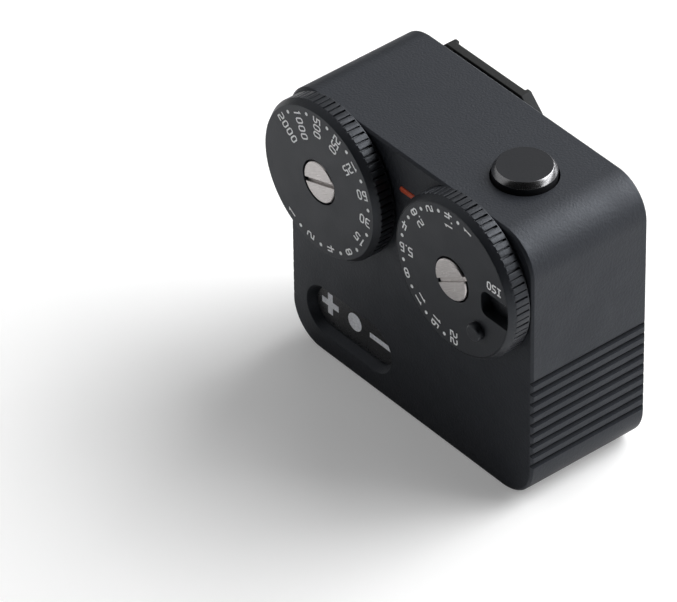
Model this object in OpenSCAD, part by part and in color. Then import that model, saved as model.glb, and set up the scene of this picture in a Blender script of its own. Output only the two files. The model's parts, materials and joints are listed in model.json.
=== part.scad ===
// Compact light meter for a camera's accessory shoe: two knurled dials on one face, a measuring
// button on the edge above them, a lit indicator slot below them and a shoe foot on the back.
// The meter rests on its sensor edge. X runs along the dial face, Y from the dials to the foot,
// Z up to the button. The origin is the centre of the resting face.

/* [Body] */
// Width of the body across the two dials
body_w = 44.1; // [43.8:0.1:48]
// Thickness of the body from the dial face to the base
body_d = 17.8; // [17.5:0.1:20]
// Height of the body from the resting face to the button edge
body_h = 38.7; // [38.4:0.1:43]
// Radius of the four long corners
corner_r = 5.2; // [4.9:0.1:5.6]
// Thickness of the side walls
wall = 1.6; // [1.4:0.05:1.7]
// Thickness of the wall that carries the dials
face_wall = 2; // [1.8:0.05:2.2]
// Chamfer round the front and back edges
edge_chamfer = 0.3; // [0.2:0.05:0.4]
// Thickness of the base plate
base_t = 1.6; // [1.5:0.05:1.8]
// Width of the ledge that the base plate sits on
ledge_w = 0.8; // [0.6:0.05:0.9]
// Radius of the bosses that take the base screws
boss_r = 2.2; // [2:0.05:2.3]
// Distance of the corner bosses from the body's edges
boss_inset = 3.5; // [3.4:0.05:3.6]
// Height of the boss on the left wall, above the indicator
side_boss_z = 13.5; // [13:0.1:15]

/* [Grip ribs] */
// Number of grooves on each side
rib_count = 9; // [6:1:10]
// Distance from one groove to the next
rib_pitch = 1.556; // [1.3:0.01:1.6]
// Height of the lowest groove
rib_low_z = 6; // [5.9:0.1:7]
// Width of a groove at its mouth
rib_w = 0.8; // [0.5:0.01:1]
// Depth of a groove
rib_depth = 0.3; // [0.2:0.01:0.35]

/* [Dials] */
// Outer radius of a dial over its knurl
dial_r = 10.55; // [10.2:0.05:10.8]
// Radius of a dial's flat face
dial_face_r = 9.98; // [9.85:0.01:10.1]
// Height of a dial's face above the body
dial_h = 3.1; // [3:0.05:3.4]
// Gap under a dial
dial_gap = 0.15; // [0.1:0.01:0.25]
// Height at which the knurl starts
knurl_low = 0.4; // [0.35:0.01:0.5]
// Height at which the knurl gives way to the bevel
knurl_high = 2.2; // [2:0.05:2.3]
// Number of knurl grooves round a dial
knurl_count = 72; // [48:2:80]
// Width of the deep grooves
knurl_w = 0.27; // [0.2:0.01:0.4]
// Depth of the deep grooves
knurl_depth = 0.42; // [0.3:0.01:0.5]
// Gap between the rims of the two dials
dials_apart = 3.1; // [2.9:0.05:3.3]
// Distance of the middle between the dials from the body's middle, to the left
dials_shift = 0.7; // [0.6:0.05:0.9]
// Distance of both axes below the button edge
dial_drop = 9.35; // [9.3:0.05:10]
// Angle between two full shutter speeds
shutter_step = 24; // [22:0.5:24]
// Angle between two full apertures
aperture_step = 22.25; // [20:0.25:22.5]
// Radius of the slotted screw heads
head_r = 2.75; // [2.5:0.05:2.9]
// Width of the screwdriver slots
head_slot_w = 0.55; // [0.4:0.05:0.7]
// Height by which the aperture dial's screw stands proud
head_proud = 0.25; // [0:0.05:0.4]

/* [Film speed plate] */
// Height of the dial floor under the plate
plate_floor = 1.6; // [1.4:0.05:1.7]
// Inner end of the window, from the dial's axis
window_in = 5.15; // [4.8:0.05:5.6]
// Width of the window
window_w = 3.5; // [3:0.05:4]
// Radius of the window's inner corners
window_corner = 1.1; // [0.8:0.05:1.4]
// Radius of the peg
peg_r = 1.15; // [0.9:0.05:1.3]
// Height of the peg above the plate
peg_h = 0.9; // [0.6:0.05:1.2]
// Distance of the peg from the dial's axis
peg_at = 6.65; // [6.3:0.05:7.2]
// Direction of the peg from the dial's axis
peg_angle = -46; // [-60:1:-40]

/* [Shafts and clicks] */
// Radius of the dial shafts
shaft_r = 2; // [1.9:0.01:2.1]
// Radial clearance of a shaft in its bush
shaft_gap = 0.04; // [0.02:0.01:0.06]
// Outer radius of a bush
bush_r = 3.2; // [3:0.05:3.3]
// Radius of a click ball
ball_r = 0.5; // [0.4:0.02:0.55]
// Distance of the click balls from a dial's axis
click_at = 7; // [6.6:0.05:7.6]
// Thickness of the rotary switches
encoder_t = 2.4; // [2.2:0.05:2.5]

/* [Indicator] */
// Distance of the slot's centre from the left side
slot_inset = 10.7; // [10.4:0.05:10.9]
// Height of the slot's centre
slot_z = 6.4; // [6.3:0.05:6.8]
// Distance between the centres of the slot's round ends
slot_len = 8.9; // [8.4:0.1:9]
// Radius of the slot's round ends at the face
slot_r = 3.5; // [3.3:0.05:3.6]
// Radius of the round ends at the floor
slot_floor_r = 2.8; // [2.7:0.05:2.9]
// Depth of the slot
slot_depth = 1.1; // [1:0.05:1.2]
// Distance from one lit symbol to the next
symbol_pitch = 4.6; // [4.4:0.05:4.7]
// Height of the symbols above the slot's centre
symbol_rise = 0.4; // [0.2:0.05:0.5]
// Width of the strokes of the plus
stroke_w = 0.9; // [0.8:0.05:1.1]
// Width of the stroke of the minus
minus_w = 0.75; // [0.6:0.05:1]
// Length of each arm pair of the plus
plus_size = 3.1; // [2.8:0.05:3.3]
// Length of the minus
minus_size = 4; // [3.6:0.05:4.1]
// Radius of the dot
dot_r = 1.25; // [1:0.05:1.4]

/* [Button] */
// Distance of the button's axis from the right side
button_inset = 11.05; // [10.8:0.05:11.3]
// Radius of the measuring button
button_r = 3.9; // [3.7:0.05:4]
// Clearance round the button
button_gap = 0.2; // [0.15:0.01:0.25]
// Height of the button above the body
button_h = 1.5; // [1.4:0.05:1.7]
// Height of the chamfer on top of the button
button_bevel_h = 0.75; // [0.5:0.05:0.8]
// Width of the chamfer on top of the button
button_bevel_w = 0.5; // [0.4:0.05:0.7]
// Travel of the button
button_travel = 0.5; // [0.3:0.05:0.55]
// Width of the ring that keeps the button in the body
button_flange = 0.5; // [0.4:0.05:0.55]

/* [Foot] */
// Width of the foot plate, which slides in a camera's accessory shoe
foot_w = 18.3; // [18:0.05:18.6]
// Length of the foot plate
foot_l = 18; // [17:0.1:18.5]
// Thickness of the foot plate over its rails
foot_t = 1.6; // [1.5:0.05:1.9]
// Chamfer on the corners of the foot plate
foot_chamfer = 2.3; // [2:0.05:2.6]
// Depth of the recess between the rails
foot_recess = 0.45; // [0.3:0.05:0.5]
// Width of the recess between the rails
foot_recess_w = 12.4; // [11.8:0.05:12.8]
// Width of the neck between the shoe's lips
neck_w = 12.2; // [11.8:0.05:12.4]
// Height of the neck
neck_h = 1.7; // [1.6:0.05:2]
// Distance of the foot's centre from the left side
foot_inset = 12.7; // [12.4:0.05:12.8]
// Distance of the foot plate's end from the button edge
foot_top = 1.8; // [1.6:0.05:2]

/* [Battery] */
// Radius of the coin cell
cell_r = 8; // [7.9:0.05:8.1]
// Thickness of the coin cell
cell_t = 3.2; // [3:0.05:3.3]
// Height of the cell's axis
battery_z = 18.5; // [18.2:0.1:19.5]
// Radial clearance of the cover in the base plate
cover_gap = 0.08; // [0.06:0.01:0.1]

/* [Circuit] */
// Height of the posts under the circuit board
post_h = 4.25; // [4.1:0.05:4.4]
// Thickness of the circuit board
board_t = 1; // [0.8:0.05:1.1]
// Thickness of the button's switch
switch_d = 2.2; // [2:0.05:2.4]
// Distance of the light sensor's axis from the right side
sensor_inset = 10.65; // [10.4:0.05:10.9]

/* [Hidden] */
$fn = 64;

// Overshoot of a cutter past the face that it opens
over = 0.1;
// Gap between pieces that are seated on each other
seat = 0.05;
// Gap between thin pieces that lie on each other
film = 0.02;
// Overlap of shapes that are fused into one piece
join = 0.01;

// Levels from the dial face to the base
face_y = -body_d / 2;
inner_y = face_y + face_wall;
back_y = body_d / 2;
base_y = back_y - base_t;
board_y = inner_y + post_h;
board_back_y = board_y + board_t;

// Places on the dial face
left_x = -body_w / 2;
right_x = body_w / 2;
dial_z = body_h - dial_drop;
between_x = -dials_shift;
shutter_x = between_x - dial_r - dials_apart / 2;
aperture_x = between_x + dial_r + dials_apart / 2;
button_x = right_x - button_inset;
slot_x = left_x + slot_inset;
symbol_shift = 0.2;
symbol_x = slot_x - symbol_shift;
symbol_z = slot_z + symbol_rise;
minus_shift = 0.2;

// Rim of the wall round the base plate
rim_w = wall - ledge_w;

// Places of the screws that hold the base plate, and of the posts under the circuit board
boss_low_x = 0.5;
boss_spots = [[left_x + boss_inset, body_h - boss_inset], [right_x - boss_inset, body_h - boss_inset],
    [right_x - boss_inset, boss_inset], [boss_low_x, boss_inset], [left_x + boss_inset, side_boss_z]];
post_high_up = 1;
post_right_in = 4.5;
post_right_z = 13.5;
post_left_in = 4.8;
post_left_up = 5.1;
post_low_x = 3.5;
post_low_up = 4.4;
post_spots = [[between_x, dial_z + post_high_up], [right_x - post_right_in, post_right_z],
    [left_x + post_left_in, side_boss_z + post_left_up], [post_low_x, boss_inset + post_low_up]];
post_r = 1.5;

// Grooves in the sides taper to a narrow floor
rib_floor_w = rib_w / 4;

// Small screws
base_shank_r = 0.75;
base_head_r = 1.5;
base_screw_l = 5;
board_shank_r = 0.6;
board_head_r = 1.2;
board_head_t = 0.7;
board_socket_r = 0.35;
board_screw_in = 2;
holder_screw_in = 0.9;
screw_spare = 0.2;
foot_shank_r = 0.95;
foot_head_r = 1.7;
screw_gap = 0.05;

// Cross in a countersunk head, as shares of the head's radius
cross_reach = 0.65;
cross_w = 0.26;
cross_depth = 0.35;

// Heights in a dial, from the body's face outwards
head_depth = 0.75;
dial_web_t = 0.8;
web_top = dial_h - head_depth;
shaft_top = web_top - dial_web_t;
plate_shaft_top = plate_floor - dial_web_t;
dial_shank_r = 0.8;
dial_shank_in = 1.6;
dial_foot_w = 0.15;
dial_foot_h = 0.1;
shaft_fit = 0.02;
bevel_h = dial_h - knurl_high;
bevel_w = dial_r - dial_face_r;
thin_groove_w = 0.6 * knurl_w;
thin_groove_depth = 0.6 * knurl_depth;
shutter_knurl_turn = 0.3;
aperture_knurl_turn = 2.7;

// Slotted screw heads, and how far their slots are turned
head_edge = 0.12;
head_slot_depth = 0.45;
shutter_slot_turn = 18;
aperture_slot_turn = 31;

// Full steps on each dial, and how many of them lie before the one at the index mark
shutter_positions = 12;
shutter_rest = 6;
aperture_positions = 10;
aperture_rest = 4;

// The film speed plate turns on a collar of the aperture dial
plate_r = dial_face_r - 0.08;
plate_gap = 0.05;
collar_r = 1.7;

// The peg and its pin in the plate
peg_pin_r = 0.6 * peg_r;
peg_pin_l = 0.9;
peg_pin_gap = 0.03;
peg_edge_h = 0.3;
peg_edge_w = 0.1;

// Bush, clip and rotary switch under a dial, as depths below the body's face
bush_flange_t = 0.6;
head_ring = 0.2;
clip_t = 0.4;
clip_depth = face_wall + bush_flange_t + 0.15;
clip_groove = 0.4;
clip_out = 1.2;
clip_mouth = 1.8;
board_depth = face_wall + post_h;
shaft_depth = board_depth - 0.3;
encoder_floor_t = 0.15;
ball_fit = 0.03;
ball_rise = dial_gap - ball_fit;
pocket_depth = 2.9;
pocket_r = ball_r + ball_fit;
pocket_wall = 0.7;
pocket_floor_t = 0.4;
click_spring_r = 0.7 * ball_r;
click_wire_r = 0.16 * ball_r;
click_spring_l = pocket_depth + ball_rise - 1.75 * ball_r - 0.1;
dimple_sink = 0.3;

// The button's stack, down from the top wall
top_in_z = body_h - wall;
flange_gap = 0.2;
flange_t = 0.7;
flange_z = top_in_z - flange_gap - flange_t;
spring_l = 1.6;
spring_wire_r = 0.14;
guide_t = 0.6;
guide_z = flange_z - spring_l - guide_t;
stem_r = 1.4;
stem_gap = 0.1;
spring_out = 0.9;
spring_r = stem_r + spring_out;
plunger_r = 0.8;
plunger_gap = 0.06;
plunger_in = 0.8;
plunger_well = 1.5;
stem_z = guide_z + guide_t - seat;
switch_w = 6;
switch_h = 3.4;
switch_z = guide_z - 2 * seat - switch_h;
button_y = board_back_y + switch_d / 2;
guide_w = 8;
guide_reach = 4;
ledge_h = 0.5;
ledge_d = 0.8;

// Rotary switches and bushes end below the button's guide and its ledge
under_button_gap = 0.25;
encoder_r = guide_z - dial_z - under_button_gap;
bush_flange_r = guide_z - ledge_h - dial_z - under_button_gap;
encoder_lug_w = 1.6 * encoder_r;
encoder_lug_l = 0.8;
encoder_lug_t = 0.8;

// The circuit board keeps a margin to the walls
board_margin = 0.8;
board_boss_gap = 0.4;
board_low_z = wall + board_margin;
board_high_z = guide_z - 0.2;
board_x = right_x - wall - board_margin;
board_corner = corner_r - wall - board_margin;

// The sensor looks down through the resting face
sensor_x = right_x - sensor_inset;
sensor_y = (board_back_y + base_y) / 2;
sensor_recess = 0.3;
sensor_margin = 0.4;
sensor_glass_t = 0.9;
bezel_flange = 0.6;
bezel_bore = 0.65;
sensor_r = (base_y - board_back_y) / 2 - bezel_flange - sensor_margin;
bezel_rise = 2.6;
bezel_high_z = wall + bezel_rise;
photodiode_w = 1.28 * (sensor_r - bezel_bore);
photodiode_t = 1.1;
sensor_board_z = bezel_high_z + 0.1;
sensor_board_t = 0.8;
sensor_board_out = 0.5;
sensor_board_in = 0.2;

// The coin cell stands in a cup behind the base plate
cup_gap = 0.3;
cup_wall = 0.95;
cup_r = cell_r + cup_gap + cup_wall;
battery_x = right_x - wall - 0.15 - cup_r;
cover_gap_y = 0.1;
cover_skirt_r = cell_r + 0.52;
cover_flange_r = cover_skirt_r + 0.88;
cover_flange_t = 0.6;
gasket_t = 0.2;
cover_skirt_l = base_t + 0.25;
gasket_margin = 0.1;
cover_slot_l = 12;
cover_slot_w = 1.2;
cover_slot_depth = 0.7;
cell_back_y = back_y - cover_skirt_l - cover_gap_y;
cell_front_y = cell_back_y - cell_t;
cell_step_h = 0.5;
cell_step_w = 0.9;
contact_t = 0.2;
contact_w = 2;
contact_reach = 4;
contact_leg_at = 2.5;
contact_gap = 0.1;
tongue_l = 3;
tongue_w = 1.2;
blade_w = 3;
blade_end = 0.5;
mouth_gap = 0.1;
cup_floor_t = 0.8;
cup_floor_y = cell_front_y - 2 * contact_t - cup_floor_t;
ear_r = 1.5;
ear_t = 1.2;
ear_root = 1;
ear_out = 1.3;
ear_at = cup_r + ear_out;

// The foot stands on the base plate
foot_x = left_x + foot_inset;
foot_z = body_h - foot_top - foot_l / 2;
neck_inset = 0.5;
neck_l = foot_l - 2 * neck_inset;
foot_screw_dx = 4;
foot_screw_dz = 6;
backing_t = 1.2;
backing_w = 11.4;
backing_l = 15.6;
foot_out = neck_h + foot_t;

// Index mark between the dials' rims, as a raised bar with round ends
mark_rise = 4.28;
mark_w = 0.74;
mark_sink = 0.15;
mark_lift = 0.16;
mark_left_gap = 1.65;
mark_reach = sqrt(dial_r * dial_r - mark_rise * mark_rise);
mark_from = shutter_x + mark_reach + mark_left_gap;
mark_to = aperture_x - mark_reach - seat;

// Window, light guide, baffle and lamps behind the indicator slot
window_flange_t = 0.5;
window_flange_w = 0.5;
light_plate_t = 0.58;
light_plate_w = 0.4;
baffle_wall = 0.6;
baffle_cell_h = 4.2;
baffle_h = post_h - window_flange_t - light_plate_t - 2 * film;
led_w = 1.6;
led_h = 0.8;
led_t = 0.7;

// Places a child on the dial face, with Z pointing out of the face and Y up
module on_face(x, z) {
    translate([x, face_y, z]) rotate([90, 0, 0]) children();
}

// Places a child on the base, with Z pointing out of the base and Y down
module on_back(x, z) {
    translate([x, back_y, z]) rotate([-90, 0, 0]) children();
}

// Places a child on the inside of the dial wall, with Z pointing into the body
module on_inside(x, y, z) {
    translate([x, y, z]) rotate([-90, 0, 0]) children();
}

module ring(r_out, r_in, h) {
    difference() {
        cylinder(h = h, r = r_out);
        translate([0, 0, -over]) cylinder(h = h + 2 * over, r = r_in);
    }
}

module rounded_rect(w, h, r) {
    square([w - 2 * r, h], center = true);
    square([w, h - 2 * r], center = true);
    for (sx = [-1, 1], sy = [-1, 1]) translate([sx * (w / 2 - r), sy * (h / 2 - r)]) circle(r = r);
}

module stadium(length, r) {
    square([length, 2 * r], center = true);
    for (s = [-1, 1]) translate([s * length / 2, 0]) circle(r = r);
}

// Chamfered outline of a plate's section, from -half to half and from 0 to t
function chamfered(half, t, c) = [[-half + c, 0], [half - c, 0], [half, c], [half, t - c],
    [half - c, t], [-half + c, t], [-half, t - c], [-half, c]];

// Block with round corners and with chamfers on both faces
module chamfered_block(w, h, t, r, c) {
    translate([-w / 2 + r, 0, 0]) rotate([90, 0, 90]) linear_extrude(w - 2 * r)
        polygon(chamfered(h / 2, t, c));
    translate([0, h / 2 - r, 0]) rotate([90, 0, 0]) linear_extrude(h - 2 * r)
        polygon(chamfered(w / 2, t, c));
    for (sx = [-1, 1], sy = [-1, 1]) translate([sx * (w / 2 - r), sy * (h / 2 - r), 0])
        rotate_extrude() polygon([[0, 0], [r - c, 0], [r, c], [r, t - c], [r - c, t], [0, t]]);
}

// Open coil of round wire along Z, from z = 0 to its full length
module coil_spring(coil_r, wire_r, turns, length, steps, sides) {
    n = turns * steps;
    rise = length - 2 * wire_r;
    points = [for (i = [0:n], j = [0:sides - 1])
        let (a = 360 * i / steps, b = 360 * j / sides, r = coil_r + wire_r * cos(b))
        [r * cos(a), r * sin(a), wire_r + rise * i / n + wire_r * sin(b)]];
    walls = [for (i = [0:n - 1], j = [0:sides - 1])
        let (k = (j + 1) % sides)
        each [[i * sides + j, i * sides + k, (i + 1) * sides + k],
            [i * sides + j, (i + 1) * sides + k, (i + 1) * sides + j]]];
    first = [for (j = [sides - 1:-1:0]) j];
    last = [for (j = [0:sides - 1]) n * sides + j];
    polyhedron(points, concat(walls, [first, last]));
}

// Countersunk screw along -Z, its head flush with z = 0
module flat_screw(head, shank, length) {
    difference() {
        union() {
            translate([0, 0, -(head - shank)]) cylinder(h = head - shank, r1 = shank, r2 = head);
            translate([0, 0, -length]) cylinder(h = length - (head - shank), r = shank);
        }
        for (a = [0, 90]) rotate(a)
            translate([-cross_reach * head, -cross_w * head / 2, -cross_depth * head])
                cube([2 * cross_reach * head, cross_w * head, head]);
    }
}

// Hole for a countersunk screw
module flat_screw_hole(head, shank, length) {
    g = screw_gap;
    translate([0, 0, -(head - shank)])
        cylinder(h = head - shank + over, r1 = shank + g, r2 = head + g + over);
    translate([0, 0, -length - over]) cylinder(h = length + over, r = shank + g);
}

// Body

module grip_grooves() {
    flare = over * (rib_w - rib_floor_w) / 2 / rib_depth;
    outline = [[-rib_depth, -rib_floor_w / 2], [over, -rib_w / 2 - flare],
        [over, rib_w / 2 + flare], [-rib_depth, rib_floor_w / 2]];
    for (s = [0, 1], i = [0:rib_count - 1])
        mirror([s, 0, 0]) translate([right_x, back_y + over, rib_low_z + i * rib_pitch])
            rotate([90, 0, 0]) linear_extrude(body_d + 2 * over) polygon(outline);
}

// The indicator slot: tapered walls down to its floor, then the opening for the window
module slot_cut() {
    flare = over * (slot_r - slot_floor_r) / slot_depth;
    on_face(slot_x, slot_z) {
        translate([0, 0, -face_wall - over]) linear_extrude(face_wall + over - slot_depth + join)
            stadium(slot_len, slot_floor_r);
        for (s = [-1, 1]) translate([s * slot_len / 2, 0, -slot_depth])
            cylinder(h = slot_depth + over, r1 = slot_floor_r, r2 = slot_r + flare);
        translate([-slot_len / 2, 0, 0]) rotate([90, 0, 90]) linear_extrude(slot_len)
            polygon([[-slot_floor_r, -slot_depth], [slot_floor_r, -slot_depth],
                [slot_r + flare, over], [-slot_r - flare, over]]);
    }
}

module dial_holes(x) {
    on_face(x, dial_z) {
        translate([0, 0, -face_wall - over]) cylinder(h = face_wall + 2 * over, r = bush_r + seat);
        translate([0, -click_at, -pocket_depth]) cylinder(h = pocket_depth + over, r = pocket_r);
    }
}

module housing() {
    color([0.21, 0.21, 0.225]) difference() {
        union() {
            difference() {
                on_inside(0, face_y, body_h / 2)
                    chamfered_block(body_w, body_h, body_d, corner_r, edge_chamfer);
                on_inside(0, inner_y, body_h / 2) linear_extrude(body_d)
                    rounded_rect(body_w - 2 * wall, body_h - 2 * wall, corner_r - wall);
            }
            for (p = boss_spots) on_inside(p[0], inner_y - join, p[1])
                cylinder(h = base_y - inner_y + join, r = boss_r);
            for (p = post_spots) on_inside(p[0], inner_y - join, p[1])
                cylinder(h = post_h + join, r = post_r);
            for (x = [shutter_x, aperture_x]) on_inside(x, inner_y - join, dial_z - click_at)
                cylinder(h = pocket_depth + pocket_floor_t - face_wall + join, r = pocket_r + pocket_wall);
            // Ledge that carries the button guide
            translate([button_x - guide_w / 2, inner_y - join, guide_z - ledge_h])
                cube([guide_w, ledge_d + join, ledge_h - seat]);
        }
        on_inside(0, base_y, body_h / 2) linear_extrude(base_t + over)
            rounded_rect(body_w - 2 * rim_w, body_h - 2 * rim_w, corner_r - rim_w);
        for (p = boss_spots) on_inside(p[0], base_y - base_screw_l + base_t, p[1])
            cylinder(h = base_screw_l, r = base_shank_r + screw_gap);
        for (p = post_spots) on_inside(p[0], board_y - board_screw_in - screw_spare, p[1])
            cylinder(h = board_screw_in + screw_spare + over, r = board_shank_r + screw_gap);
        for (x = [shutter_x, aperture_x]) dial_holes(x);
        slot_cut();
        grip_grooves();
        translate([button_x, button_y, top_in_z - over])
            cylinder(h = wall + 2 * over, r = button_r + button_gap);
        translate([sensor_x, sensor_y, -over]) cylinder(h = wall + 2 * over, r = sensor_r + seat);
        index_bar(over);
    }
}

// Coloured bar between the dials, let into the face
module index_bar(lift) {
    on_face((mark_from + mark_to) / 2, dial_z + mark_rise) translate([0, 0, -mark_sink])
        linear_extrude(mark_sink + lift) stadium(mark_to - mark_from - mark_w, mark_w / 2);
}

module index_mark() {
    color([0.85, 0.2, 0.08]) index_bar(mark_lift);
}

// Base, foot and their screws

module base_plate() {
    edge = rim_w + seat;
    color([0.2, 0.2, 0.21]) difference() {
        on_inside(0, base_y + seat, body_h / 2) linear_extrude(base_t - seat)
            rounded_rect(body_w - 2 * edge, body_h - 2 * edge, corner_r - edge);
        for (p = boss_spots) on_back(p[0], p[1]) flat_screw_hole(base_head_r, base_shank_r, base_t + over);
        on_back(foot_x, foot_z) at_foot_screws(-base_t - over)
            cylinder(h = base_t + 2 * over, r = foot_shank_r + screw_gap);
        on_back(battery_x, battery_z) {
            translate([0, 0, -base_t - over]) cylinder(h = base_t + 2 * over, r = cover_skirt_r + cover_gap);
            translate([0, 0, -cover_flange_t - gasket_t - seat])
                cylinder(h = cover_flange_t + gasket_t + seat + over, r = cover_flange_r + cover_gap);
            for (s = [-1, 1]) translate([0, s * ear_at, -base_t - over])
                cylinder(h = over + holder_screw_in + screw_spare, r = board_shank_r + screw_gap);
        }
    }
}

module base_screws() {
    color([0.55, 0.55, 0.57]) for (p = boss_spots) on_back(p[0], p[1])
        flat_screw(base_head_r, base_shank_r, base_screw_l - screw_spare);
}

// Repeats a child at the foot's four screws, as seen from outside the base
module at_foot_screws(height) {
    for (sx = [-1, 1], sz = [-1, 1]) translate([sx * foot_screw_dx, sz * foot_screw_dz, height]) children();
}

module foot_neck() {
    color([0.13, 0.13, 0.14]) on_back(foot_x, foot_z) difference() {
        translate([-neck_w / 2, -neck_l / 2, 0]) cube([neck_w, neck_l, neck_h]);
        at_foot_screws(-over) cylinder(h = neck_h + 2 * over, r = foot_shank_r + screw_gap);
    }
}

module shoe_foot() {
    w = foot_w / 2;
    l = foot_l / 2;
    c = foot_chamfer;
    corner = [[w - c, -l], [w, -l + c], [w, l - c], [w - c, l]];
    outline = concat(corner, [for (p = corner) -p]);
    color([0.15, 0.15, 0.16]) on_back(foot_x, foot_z) difference() {
        translate([0, 0, neck_h]) linear_extrude(foot_t) polygon(outline);
        translate([-foot_recess_w / 2, -foot_l, foot_out - foot_recess])
            cube([foot_recess_w, 2 * foot_l, foot_t]);
        at_foot_screws(foot_out - foot_recess) flat_screw_hole(foot_head_r, foot_shank_r, foot_t);
    }
}

module foot_screws() {
    top = foot_out - foot_recess;
    color([0.6, 0.6, 0.62]) on_back(foot_x, foot_z) at_foot_screws(top)
        flat_screw(foot_head_r, foot_shank_r, top + base_t + backing_t - 2 * seat);
}

module foot_backing_plate() {
    color([0.6, 0.6, 0.58]) on_back(foot_x, foot_z) difference() {
        translate([-backing_w / 2, -backing_l / 2, -base_t - backing_t])
            cube([backing_w, backing_l, backing_t]);
        at_foot_screws(-base_t - backing_t - over)
            cylinder(h = backing_t + 2 * over, r = foot_shank_r + screw_gap);
    }
}

// Battery

module battery_cover() {
    color([0.17, 0.17, 0.18]) on_back(battery_x, battery_z) difference() {
        union() {
            translate([0, 0, -cover_flange_t]) cylinder(h = cover_flange_t, r = cover_flange_r);
            translate([0, 0, -cover_skirt_l]) cylinder(h = cover_skirt_l - join, r = cover_skirt_r);
        }
        translate([-cover_slot_l / 2, -cover_slot_w / 2, -cover_slot_depth])
            cube([cover_slot_l, cover_slot_w, cover_slot_depth + over]);
    }
}

module cover_gasket() {
    color([0.08, 0.08, 0.08]) on_back(battery_x, battery_z) translate([0, 0, -cover_flange_t - gasket_t])
        ring(cover_flange_r - gasket_margin, cover_skirt_r + cover_gap + film, gasket_t - film);
}

module battery_cell() {
    color([0.75, 0.75, 0.74]) on_inside(battery_x, cell_front_y, battery_z) {
        cylinder(h = cell_step_h, r = cell_r - cell_step_w);
        translate([0, 0, cell_step_h]) cylinder(h = cell_t - cell_step_h, r = cell_r);
    }
}

module battery_holder() {
    cup_l = base_y - seat - cup_floor_y;
    mouth_l = cover_skirt_l - base_t + mouth_gap;
    ear_l = ear_at - cup_r + ear_root;
    color([0.1, 0.1, 0.11]) on_inside(battery_x, cup_floor_y, battery_z) difference() {
        union() {
            cylinder(h = cup_l, r = cup_r);
            for (a = [0, 180]) rotate(a) {
                translate([0, ear_at, cup_l - ear_t]) cylinder(h = ear_t, r = ear_r);
                translate([-ear_r, ear_at - ear_l, cup_l - ear_t]) cube([2 * ear_r, ear_l, ear_t]);
            }
        }
        translate([0, 0, cup_floor_t]) cylinder(h = cup_l, r = cell_r + cup_gap);
        translate([0, 0, cup_l - mouth_l]) cylinder(h = mouth_l + over, r = cover_skirt_r + mouth_gap);
        for (s = [-1, 1]) translate([0, s * ear_at, -over])
            cylinder(h = cup_l + 2 * over, r = board_shank_r + screw_gap);
        // Slots for the two contacts
        translate([-cell_r - cup_gap - contact_gap, -blade_w / 2 - contact_gap, -over])
            cube([cup_gap + 2 * contact_gap, blade_w + 2 * contact_gap, cup_l + 2 * over]);
        translate([contact_leg_at - contact_gap, -contact_w / 2 - contact_gap, -over])
            cube([contact_t + 2 * contact_gap, contact_w + 2 * contact_gap, cup_floor_t + 2 * over]);
    }
}

module holder_screws() {
    color([0.6, 0.6, 0.62]) for (s = [-1, 1])
        on_inside(battery_x, base_y - seat - ear_t, battery_z + s * ear_at) {
            translate([0, 0, -board_head_t]) ring(board_head_r, board_socket_r, board_head_t);
            cylinder(h = ear_t + holder_screw_in, r = board_shank_r);
        }
}

// Contact under the cell's small face: a strip on the cup's floor, a tongue and a leg to the board
module battery_contact_minus() {
    floor_y = cup_floor_y + cup_floor_t;
    color([0.8, 0.75, 0.5]) {
        translate([battery_x - contact_reach, floor_y, battery_z - contact_w / 2])
            cube([contact_reach + contact_leg_at + contact_t, contact_t, contact_w]);
        translate([battery_x - contact_reach, floor_y, battery_z - tongue_w / 2])
            cube([tongue_l, 2 * contact_t - seat, tongue_w]);
        translate([battery_x + contact_leg_at, board_back_y, battery_z - contact_w / 2])
            cube([contact_t, floor_y + contact_t - board_back_y, contact_w]);
    }
}

// Contact on the cell's rim: a blade beside the cell, with a leg to the board
module battery_contact_plus() {
    color([0.8, 0.75, 0.5])
        translate([battery_x - cell_r - cup_gap + seat, board_back_y, battery_z - blade_w / 2])
            cube([contact_t, cell_back_y - blade_end - board_back_y, blade_w]);
}

// Circuit

module circuit_board() {
    h = board_high_z - board_low_z;
    color([0.05, 0.3, 0.16]) difference() {
        on_inside(0, board_y, board_low_z + h / 2) linear_extrude(board_t)
            rounded_rect(2 * board_x, h, board_corner);
        for (p = boss_spots) on_inside(p[0], board_y - over, p[1])
            cylinder(h = board_t + 2 * over, r = boss_r + board_boss_gap);
        for (p = post_spots) on_inside(p[0], board_y - over, p[1])
            cylinder(h = board_t + 2 * over, r = board_shank_r + screw_gap);
    }
}

module board_screws() {
    color([0.6, 0.6, 0.62]) for (p = post_spots) on_inside(p[0], board_back_y, p[1]) {
        ring(board_head_r, board_socket_r, board_head_t);
        translate([0, 0, -board_t - board_screw_in])
            cylinder(h = board_t + board_screw_in, r = board_shank_r);
    }
}

// Chips on the back of the board: [x, z, width, height, thickness]
chip_list = [[-10, 17, 5, 5, 0.9], [-4, 23, 3, 3, 0.8], [-14, 25, 3.2, 2.5, 0.9],
    [-4.5, 16, 1.6, 0.8, 0.6], [-4.5, 13.5, 1.6, 0.8, 0.6], [-14, 11.5, 2, 1.2, 0.7],
    [-9, 11.5, 2, 1.2, 0.7], [-9.5, 24.5, 2, 1.2, 0.7]];

module board_chips() {
    color([0.08, 0.08, 0.09]) for (c = chip_list)
        translate([c[0] - c[2] / 2, board_back_y, c[1] - c[3] / 2]) cube([c[2], c[4], c[3]]);
}

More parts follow.
